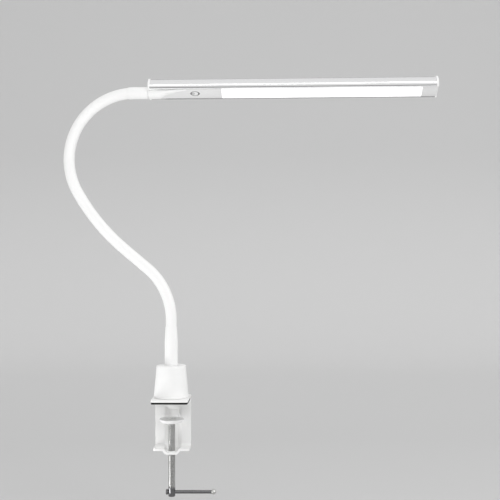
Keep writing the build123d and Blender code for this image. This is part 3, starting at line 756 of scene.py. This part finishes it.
def prism(name, outline, start, end, material):
    """Extrudes a closed (y, z) outline along the head from start to end."""
    rings = [[(x, y, z) for y, z in outline] for x in (start, end)]
    return skin(name, rings, material, HEAD_PLACE)


def height_angle(radius, height):
    """Angle in degrees, from +Y, where a circle about the profile's centre has a height."""
    return math.degrees(math.asin((height - PROFILE_CENTRE) / radius))


def half_width(radius, height):
    """Half the width of a circle about the profile's centre, at a height."""
    return math.sqrt(radius**2 - (PROFILE_CENTRE - height) ** 2)


def eased_corner(start, corner, end):
    """Points of a soft corner that leaves one line and joins another."""
    steps = 6
    points = []
    for i in range(steps + 1):
        t = i / steps
        points.append(tuple((1 - t)**2 * a + 2 * t * (1 - t) * b + t**2 * c
                            for a, b, c in zip(start, corner, end)))
    return points


def shell_outline():
    """The extrusion's section: round outside, bevelled lips, and a chamber below its web."""
    corner_angle = 5.0  # degrees of the round outside that each soft corner takes up
    first = height_angle(PROFILE_RADIUS, 0) + corner_angle
    outline = arc(PROFILE_MIDDLE, PROFILE_RADIUS, first, 180 - first, steps=84)
    left = eased_corner(outline[-1], (-PROFILE_FLAT / 2, 0.0),
                        (-PROFILE_FLAT / 2 + LIP_ROUND, 0.0))[1:]
    left += [(-OPENING / 2 - LIP_BEVEL, 0.0), (-OPENING / 2, COVER_RECESS),
             (-OPENING / 2, COVER_LIP), (-half_width(PROFILE_INSIDE, COVER_LIP), COVER_LIP)]
    low, high = height_angle(PROFILE_INSIDE, COVER_LIP), height_angle(PROFILE_INSIDE, WEB_HEIGHT)
    left += arc(PROFILE_MIDDLE, PROFILE_INSIDE, 180 - low, 180 - high, steps=12)[1:]
    return outline + left + [(-y, z) for y, z in reversed(left)]


def chamber_outline():
    """The closed space above the web, which the driver board lies in."""
    low = height_angle(PROFILE_INSIDE, WEB_HEIGHT + WEB_THICKNESS)
    return arc(PROFILE_MIDDLE, PROFILE_INSIDE, low, 180 - low, steps=40)


def make_profile():
    """Aluminium extrusion, with an open space below its web and a closed one above."""
    start, end, spare = CAP_THICKNESS, HEAD_LENGTH - CAP_THICKNESS, 1.0 * MM
    shell = prism("head_extrusion", shell_outline(), start, end, ALUMINIUM)
    chamber = prism("chamber", chamber_outline(), start - spare, end + spare, ALUMINIUM)
    return combine(shell, chamber, "DIFFERENCE", PROFILE_SHARP_ANGLE)


def cap_outline(notched):
    """Round cap that stands proud above and comes down flush with the lips and the covers."""
    base = height_angle(PROFILE_RADIUS, 0)
    low_proud = 0.1 * MM
    right, steps = [], 14
    for i in range(steps + 1):
        share = i / steps
        proud = low_proud + (CAP_PROUD - low_proud) * smooth_step(share)
        right.append(on_circle(PROFILE_MIDDLE, PROFILE_RADIUS + proud, base * (1 - share)))
    outline = right + arc(PROFILE_MIDDLE, PROFILE_RADIUS + CAP_PROUD, 0, 180, steps=60)[1:-1]
    outline += [(-y, z) for y, z in reversed(right)]
    floor = right[0][1]
    if notched:
        notch = FERRULE_RADIUS + COVER_GAP
        low = math.degrees(math.asin((floor - ADAPTOR_DROP) / notch))
        outline += arc((0.0, ADAPTOR_DROP), notch, 180 - low, low, steps=40)
    else:
        roof = COVER_RECESS + 0.3 * MM
        outline += [(-OPENING / 2, floor), (-OPENING / 2, roof), (OPENING / 2, roof),
                    (OPENING / 2, floor)]
    return outline


def make_cap(name, start, end, notched):
    """White end cap. The one at the neck is notched for the adaptor's collar."""
    return bevelled(prism(name, cap_outline(notched), start, end, WHITE_PLASTIC), EDGE_BEVEL,
                    segments=4)


def strip_outline():
    """A cover strip's section: set a little above the lips, which its flange rests on."""
    half, soft = OPENING / 2 - COVER_GAP, 0.25 * MM
    middle = soft * 0.3  # of the soft corner, from either of its sides
    flange = half_width(PROFILE_INSIDE, COVER_LIP) - COVER_GAP
    side = [(half - soft, COVER_RECESS), (half - middle, COVER_RECESS + middle),
            (half, COVER_RECESS + soft), (half, COVER_LIP), (flange, COVER_LIP),
            (flange, COVER_LIP + COVER_FLANGE)]
    return side + [(-y, z) for y, z in reversed(side)]


def make_strip(name, start, end, material):
    """A strip that closes part of the extrusion's underside."""
    return prism(name, strip_outline(), start, end, material)


def eased(points, x):
    """Smooth curve through a few (x, y) points, level at its start."""
    for (x0, y0), (x1, y1) in zip(points, points[1:]):
        if x <= x1:
            break
    index = points.index((x0, y0))
    slopes = []
    for k in (index, index + 1):
        if 0 < k < len(points) - 1:
            slopes.append((points[k + 1][1] - points[k - 1][1])
                          / (points[k + 1][0] - points[k - 1][0]))
        else:
            slopes.append((y1 - y0) / (x1 - x0) if k else 0.0)
    span = x1 - x0
    t = (x - x0) / span
    return ((2 * t**3 - 3 * t**2 + 1) * y0 + (t**3 - 2 * t**2 + t) * span * slopes[0]
            + (3 * t**2 - 2 * t**3) * y1 + (t**3 - t**2) * span * slopes[1])


# Along the fairing, as (share of its length, value): its radius as a share of the collar's,
# and how far it has shifted to its own side
FAIRING_SIZE = [(0.0, 1.0), (0.26, 0.57), (0.56, 0.37), (1.0, 0.13)]
FAIRING_SHIFT = [(0.0, 0.0), (0.26, 0.42), (0.56, 0.72), (1.0, 1.0)]
FAIRING_REACH = OPENING / 2 - 1.0 * MM
FAIRING_ROOF = 0.3 * MM  # the fairing's flat back, between the lips and short of the covers
# Along the adaptor's collar, as (distance, inset of its radius) in mm, and where it is cut flat
ADAPTOR_STATIONS = ((0.0, 0.3), (0.09, 0.09), (0.3, 0.0), (3, 0), (7, 0), (11, 0))
ADAPTOR_ROOF = 10.0 * MM


def make_adaptor():
    """Round collar that runs out along the underside in a tapering fairing."""
    round_steps, fairing_steps = 72, 36
    stations = [(x * MM, 1.0, 0.0, inset * MM, ADAPTOR_ROOF) for x, inset in ADAPTOR_STATIONS]
    for i in range(fairing_steps + 1):
        share = i / fairing_steps
        stations.append((ADAPTOR_END + FAIRING_LENGTH * share, eased(FAIRING_SIZE, share),
                         eased(FAIRING_SHIFT, share), 0.0, FAIRING_ROOF))
    rings = []
    for x, size, shift, inset, roof in stations:
        radius = FERRULE_RADIUS * size - inset
        rings.append([(x, -shift * FAIRING_REACH + radius * math.cos(angle),
                       min(roof, ADAPTOR_DROP * size + radius * math.sin(angle)))
                      for angle in full_turn(round_steps)])
    return skin("neck_adaptor_fairing", rings, WHITE_PLASTIC, HEAD_PLACE, sharp_angle=50.0)


def pointed_oval(length, width):
    """Two arcs that meet in points, as (x, y) around the middle."""
    radius = (length**2 / 4 + width**2 / 4) / width
    drop = radius - width / 2
    reach = math.degrees(math.asin(length / 2 / radius))
    top = arc((0.0, -drop), radius, 90 - reach, 90 + reach, steps=20)
    return top + [(-x, -y) for x, y in top]


def circle(radius, steps=40):
    """Points of a whole circle, as (x, y) around the middle."""
    return arc((0.0, 0.0), radius, 0, 360, steps)[:-1]


def flat_ring(bm, outer, inner, centre, low, high):
    """A thin closed ring between two outlines with the same number of points."""
    loops = []
    for outline, z in ((outer, low), (outer, high), (inner, high), (inner, low)):
        loops.append([bm.verts.new((centre + x, y, z)) for x, y in outline])
    for first, second in zip(loops, loops[1:] + loops[:1]):
        join_rings(bm, first, second)


def make_touch_mark():
    """Generic touch symbol: a pointed oval round a small ring."""
    low, high = COVER_RECESS - 0.04 * MM, COVER_RECESS + 0.1 * MM
    ring_shift = -2.2 * MM
    bm = bmesh.new()
    flat_ring(bm, pointed_oval(length=13.5 * MM, width=8.6 * MM),
              pointed_oval(length=9.4 * MM, width=7.5 * MM), TOUCH_CENTRE, low, high)
    flat_ring(bm, circle(1.5 * MM), circle(0.95 * MM), TOUCH_CENTRE + ring_shift, low, high)
    bm.transform(HEAD_PLACE)
    return new_object("touch_mark", bm, ICON_GREY)


dress(make_profile(), "head", "satin_aluminium", "head_profile")
dress(make_cap("end_cap_near_neck", 0.0, CAP_THICKNESS, True), "head", "white_plastic",
      "end_cap_left")
dress(make_cap("end_cap_far", HEAD_LENGTH - CAP_THICKNESS, HEAD_LENGTH, False), "head",
      "white_plastic", "end_cap_right")
dress(make_adaptor(), "head", "white_plastic", "neck_adaptor")
dress(make_strip("adaptor_strip", CAP_THICKNESS + COVER_GAP, ADAPTOR_END, WHITE_PLASTIC),
      "head", "white_plastic")
dress(make_strip("touch_cover_strip", ADAPTOR_END + COVER_GAP, TOUCH_COVER_END, GREY_PLASTIC),
      "head", "grey_plastic", "touch_cover")
dress(make_strip("light_diffuser", TOUCH_COVER_END + COVER_GAP, DIFFUSER_END, DIFFUSER),
      "head", "opal_diffuser", "diffuser")
dress(make_strip("end_panel_strip", DIFFUSER_END + COVER_GAP, END_PANEL_END, GREY_PLASTIC),
      "head", "grey_plastic", "end_panel")
dress(make_touch_mark(), "head", "grey_plastic")


# ---------------------------------------------------------------- screw, disc and bar
DISC_LOW, DISC_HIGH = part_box("pressure_disc")
SCREW_LOW, SCREW_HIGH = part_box("clamp_screw")
BAR_LOW, BAR_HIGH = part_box("tommy_bar")
KNOB_LOW, KNOB_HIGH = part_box("bar_cap")
BAR_Z = (BAR_LOW.z + BAR_HIGH.z) / 2
BAR_RADIUS = 2.4 * MM
BAR_HOLE_RADIUS = 2.47 * MM
BAR_HEAD_LENGTH = 3.1 * MM
BAR_PLACE = (Matrix.Translation((0, SCREW_Y, BAR_Z))
             @ Matrix.Rotation(math.radians(90), 4, "Y"))  # turns heights to run along X
BOSS_TOP = SCREW_LOW.z + 12.6 * MM
BOSS_RADIUS = 4.75 * MM
THREAD_START = BOSS_TOP - 0.3 * MM
THREAD_END = DISC_LOW.z - 0.1 * MM
THREAD_STEPS = 40  # points round the thread
THREAD_ROWS = 12  # points along one pitch
SPARE_TURNS = 3  # turns of the thread beyond its ends, before it is cut to length


def make_disc():
    """Dished disc with a rolled rim and a recess for the screw's riveted end."""
    low, high = DISC_LOW.z, DISC_HIGH.z
    recess_floor, rim_foot = high - 2.2 * MM, high - 1.6 * MM
    hole, recess, foot, rim = 3.05 * MM, 6.5 * MM, 14.0 * MM, 17.0 * MM
    corners = [(hole, low), (foot, low), (rim, rim_foot), (rim, high), (recess, high),
               (recess, recess_floor), (hole, recess_floor)]
    rounds = [0, 1.0 * MM, 0.8 * MM, 0.5 * MM, 0.3 * MM, 0.2 * MM, 0]
    return lathe("pressure_plate", ring_profile(corners, rounds), WHITE_ENAMEL, SCREW_PLACE)


def thread_radius(turn):
    """Radius of the rolled thread over one pitch: flat crest and root, plain flanks."""
    from_root = abs(turn % 1.0 - 0.5) * 2
    return THREAD_ROOT + (SCREW_RADIUS - THREAD_ROOT) * min(1.0, max(0.0, 2 * from_root - 0.5))


def make_thread():
    """A helical thread, cut square and chamfered at both ends."""
    turns = math.ceil((THREAD_END - THREAD_START) / SCREW_PITCH) + SPARE_TURNS
    bm = bmesh.new()
    grid = []
    for row in range(turns * THREAD_ROWS):
        turn = row / THREAD_ROWS
        radius = thread_radius(turn)
        ring = []
        for i, angle in enumerate(full_turn(THREAD_STEPS)):
            z = THREAD_START + (turn + i / THREAD_STEPS - SPARE_TURNS / 2) * SCREW_PITCH
            ring.append(bm.verts.new((radius * math.cos(angle), radius * math.sin(angle), z)))
        grid.append(ring)
    for row in range(len(grid) - THREAD_ROWS - 1):
        for i in range(THREAD_STEPS - 1):
            bm.faces.new((grid[row][i], grid[row][i + 1], grid[row + 1][i + 1],
                          grid[row + 1][i]))
        # The seam joins each turn's last point to the first of the turn above
        bm.faces.new((grid[row][-1], grid[row + THREAD_ROWS][0],
                      grid[row + THREAD_ROWS + 1][0], grid[row + 1][-1]))
    loose = [vert for vert in bm.verts if not vert.link_faces]
    bmesh.ops.delete(bm, geom=loose, context="VERTS")
    middle = (THREAD_START + THREAD_END) / 2
    for low_end in (True, False):
        rim = [edge for edge in bm.edges
               if edge.is_boundary and (edge.verts[0].co.z < middle) == low_end]
        bmesh.ops.holes_fill(bm, edges=rim)
    bm.transform(SCREW_PLACE)
    thread = new_object("screw_thread", bm, THREAD)
    crest, chamfer = SCREW_RADIUS + 0.05 * MM, 0.65 * MM
    envelope = lathe("thread_envelope", [
        (0, THREAD_START), (THREAD_ROOT, THREAD_START), (crest, THREAD_START + chamfer),
        (crest, THREAD_END - chamfer), (THREAD_ROOT, THREAD_END), (0, THREAD_END)],
        THREAD, SCREW_PLACE, steps=64)
    return combine(thread, envelope, "INTERSECT", sharp_angle=24.0)


def make_screw_boss():
    """Plain boss at the screw's foot, bored for the bar."""
    low, half_bore = SCREW_LOW.z, 8.0 * MM
    corners = [(0, low), (BOSS_RADIUS, low), (BOSS_RADIUS, BOSS_TOP), (THREAD_ROOT, BOSS_TOP),
               (0, BOSS_TOP)]
    boss = lathe("screw_boss", rounded_profile(corners, [0, 0.7 * MM, 0.5 * MM, 0, 0]),
                 DARK_CHROME, SCREW_PLACE, steps=72)
    return bore(boss, BAR_HOLE_RADIUS, -half_bore, half_bore, BAR_PLACE, steps=48)


def make_screw_head():
    """Journal and riveted end that hold the disc."""
    shelf = DISC_HIGH.z - 2.1 * MM
    journal, rivet, rivet_top = 3.0 * MM, 4.8 * MM, 4.1 * MM
    corners = [(0, THREAD_END), (journal, THREAD_END), (journal, shelf), (rivet, shelf),
               (rivet_top, SCREW_HIGH.z), (0, SCREW_HIGH.z)]
    return lathe("screw_rivet", rounded_profile(corners, [0, 0, 0, 0.3 * MM, 0.6 * MM, 0]), ZINC,
                 SCREW_PLACE, steps=48)


def make_bar():
    """Tommy bar with a button head upset on its left end."""
    radius, left = (BAR_HIGH.z - BAR_LOW.z) / 2, BAR_LOW.x
    neck = left + BAR_HEAD_LENGTH
    corners = [(0, left), (radius, left), (radius, neck), (BAR_RADIUS, neck),
               (BAR_RADIUS, KNOB_LOW.x), (0, KNOB_LOW.x)]
    rounds = [0, 1.1 * MM, 1.0 * MM, 0.25 * MM, 0, 0]
    return lathe("turning_bar", rounded_profile(corners, rounds, 8), DARK_CHROME, BAR_PLACE,
                 steps=64)


def make_bar_end():
    """Ball knob pressed on the bar's right end, with a small flat where it meets the bar."""
    radius = (KNOB_HIGH.z - KNOB_LOW.z) / 2
    centre = KNOB_HIGH.x - radius
    flat = math.degrees(math.acos((centre - KNOB_LOW.x) / radius))
    ball = arc((0.0, centre), radius, flat - 90, 90, steps=28)
    return lathe("turning_bar_end", [(0, KNOB_LOW.x)] + ball, ZINC, BAR_PLACE, steps=64)


dress(make_disc(), "pressure_disc", "white_enamel", "pressure_disc")
dress(make_thread(), "clamp_screw", "screw_steel", "clamp_screw")
dress(make_screw_boss(), "clamp_screw", "dark_chrome")
dress(make_screw_head(), "clamp_screw", "zinc_steel")
dress(make_bar(), "tommy_bar", "dark_chrome", "tommy_bar")
dress(make_bar_end(), "tommy_bar", "zinc_steel", "bar_cap")

# The finish of every CAD node. Those that no piece replaces are inside the cup and the head.
SLOT_MATERIALS = {
    "zinc_steel": ZINC, "board": BOARD, "led_yellow": LED_YELLOW, "core_steel": CORE_STEEL,
    "white_soft": SOFT_WHITE, "white_plastic": WHITE_PLASTIC, "white_enamel": WHITE_ENAMEL,
    "bracket_enamel": ENAMEL, "pad_rubber": PAD_RUBBER, "grey_plastic": GREY_PLASTIC,
    "satin_aluminium": ALUMINIUM, "opal_diffuser": DIFFUSER, "screw_steel": THREAD,
    "dark_chrome": DARK_CHROME,
}
for subpart in frame["record"]["subparts"]:
    node = frame["nodes"][subpart["node"]]
    for holder in node.material_slots:
        holder.material = SLOT_MATERIALS[subpart["material_slot"]]


# ---------------------------------------------------------------- stage, lights and camera
FLOOR_Z = SCREW_LOW.z - 50.0 * MM
LAMP_Z = FLOOR_Z + 10.0 * MM  # of the lamps that lie on the floor


def backdrop_paper():
    """Matt paper, a little deeper in tone where it lies flat under more light."""
    floor_colour, wall_colour = (0.60, 0.60, 0.60), (0.735, 0.735, 0.735)
    floor_y, wall_y = 0.6, 2.6
    grain, bump = 300.0, 0.02
    material, tree, shader, coords = shader_material("backdrop_paper")
    y = add_node(tree, "SeparateXYZ", {0: coords}).outputs["Y"]
    climb = spread(tree, y, 0, 1, floor_y, wall_y)
    set_inputs(tree, shader, {"Base Color": between(tree, climb, floor_colour, wall_colour),
                              "Normal": bump_of(tree, noise(tree, coords, grain), bump),
                              "Roughness": 0.9, "Specular IOR Level": 0.1})
    return material


def make_stage():
    """Seamless pale floor that curves up into a backdrop."""
    front, depth, height, bend, half = -2.6, 2.6, 3.4, 0.9, 4.0
    line = [(front, FLOOR_Z), (depth - bend, FLOOR_Z)]
    line += arc((depth - bend, FLOOR_Z + bend), bend, -90, 0, steps=24)[1:]
    line += [(depth, height)]
    bm = bmesh.new()
    left = [bm.verts.new((-half, y, z)) for y, z in line]
    right = [bm.verts.new((half, y, z)) for y, z in line]
    for corners in zip(left, right, right[1:], left[1:]):
        bm.faces.new(corners)
    new_object("backdrop", bm, backdrop_paper())


def soft_light(name, place, aim, size, energy, spin=0.0):
    """A soft box that lights the object and shows in its gloss, but not in the picture."""
    data = bpy.data.lights.new(name, "AREA")
    data.shape = "RECTANGLE"
    data.size, data.size_y = size
    data.energy = energy
    obj = bpy.data.objects.new(name, data)
    bpy.context.scene.collection.objects.link(obj)
    obj.location = place
    facing = (Vector(aim) - Vector(place)).to_track_quat("-Z", "Y").to_matrix().to_4x4()
    obj.rotation_euler = (facing @ Matrix.Rotation(spin, 4, "Z")).to_euler()
    obj.visible_camera = False


# Directions of the world, and where its zones begin and end along them
FRONT = (0.28, -0.96, 0.0)
UP = (0.0, 0.0, 1.0)
RIGHT = (0.77, -0.64, 0.0)
DIM_FACING = (0.45, 0.80)
DIM_HEIGHT = (0.13, 0.38)
HORIZON_HEIGHT = (0.05, 0.40)


def toward(tree, direction, aim):
    """How far each direction of the world points the way that aim does."""
    return add_node(tree, "VectorMath", {0: direction, 1: aim},
                    operation="DOT_PRODUCT").outputs["Value"]


def product(tree, first, second):
    """Multiplies two values."""
    return add_node(tree, "Math", {0: first, 1: second}, operation="MULTIPLY").outputs[0]


def set_world(strength, horizon_share, front_share, right_lift):
    """Pale surroundings: softer near the horizon, dimmest low in front, brighter on the right.

    The shares and the lift are what the strength is multiplied by there.
    """
    world = bpy.data.worlds.new("studio")
    world.use_nodes = True
    tree = world.node_tree
    direction = add_node(tree, "TexCoord", {}).outputs["Generated"]
    front, height, right = [toward(tree, direction, aim) for aim in (FRONT, UP, RIGHT)]
    dim = product(tree, spread(tree, front, 0.0, 1.0, *DIM_FACING),
                  spread(tree, height, 1.0, 0.0, *DIM_HEIGHT))
    level = product(tree, spread(tree, dim, 1.0, front_share, 0.0, 1.0),
                    spread(tree, right, 1.0, right_lift, 0.0, 1.0))
    sky = spread(tree, height, strength * horizon_share, strength, *HORIZON_HEIGHT)
    set_inputs(tree, tree.nodes["Background"], {"Color": (1, 1, 1, 1),
                                                "Strength": product(tree, level, sky)})
    bpy.context.scene.world = world


def set_camera():
    """A level camera in front, at the photograph's distance and framing."""
    data = bpy.data.cameras.new("camera")
    data.lens = 57.6
    data.sensor_width = 36.0
    data.shift_x = -0.012
    data.shift_y = 0.036
    camera = bpy.data.objects.new("camera", data)
    bpy.context.scene.collection.objects.link(camera)
    camera.location = (0.1165, -1.1, 0.183)
    camera.rotation_euler = (math.radians(90), 0, 0)
    bpy.context.scene.camera = camera


make_stage()
set_world(strength=0.93, horizon_share=0.70, front_share=0.40, right_lift=1.10)
soft_light("key", place=(0.6, -1.30, 1.80), aim=(0.2, 0.0, 0.42), size=(3.2, 0.15), energy=4.6)
soft_light("low_fill", place=(0.6, -1.25, LAMP_Z), aim=(0.6, -1.25, 1.0), size=(2.8, 1.3),
           energy=11.5)
soft_light("right_fill", place=(1.9, -1.7, 1.0), aim=(0.0, 0.0, 0.1), size=(1.2, 1.2),
           energy=13.5)
soft_light("floor_strip", place=(-0.42, -0.19, LAMP_Z), aim=(-0.42, -0.19, 1.0),
           size=(0.62, 0.12), energy=1.55, spin=math.radians(-24))
set_camera()

bpy.context.scene.view_settings.view_transform = "Standard"
